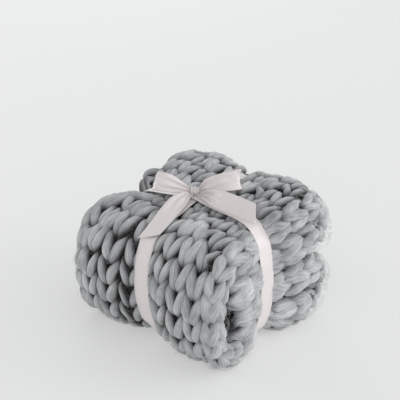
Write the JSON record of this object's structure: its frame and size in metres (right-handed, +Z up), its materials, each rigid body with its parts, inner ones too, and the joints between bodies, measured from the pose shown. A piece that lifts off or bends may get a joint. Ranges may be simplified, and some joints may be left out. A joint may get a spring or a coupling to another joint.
{
  "type": "folded chunky knit blanket tied with ribbon",
  "caption": "Chunky knit throw in thick grey wool roving, folded into a square bundle of layers and tied crosswise with a blush satin ribbon and bow",
  "frame": {"origin": "centre of the bounding box at floor level, under the tied bundle", "axes": "+Z up; X runs along the folds with the lengthwise fold at +X and the open edges at -X; -Y is the single big fold and +Y the two smaller folds"},
  "size_m": [0.3634, 0.3826, 0.2668],
  "materials": {
    "grey_wool": "thick unspun wool roving, matt and fibrous",
    "blush_satin": "satin ribbon, soft sheen"
  },
  "bodies": {
    "root": {"blanket": "grey_wool", "band_front": "blush_satin", "band_side": "blush_satin", "bow_knot": "blush_satin", "bow_loop_left": "blush_satin", "bow_loop_right": "blush_satin", "bow_tail_left": "blush_satin", "bow_tail_right": "blush_satin"}
  },
  "joints": []
}
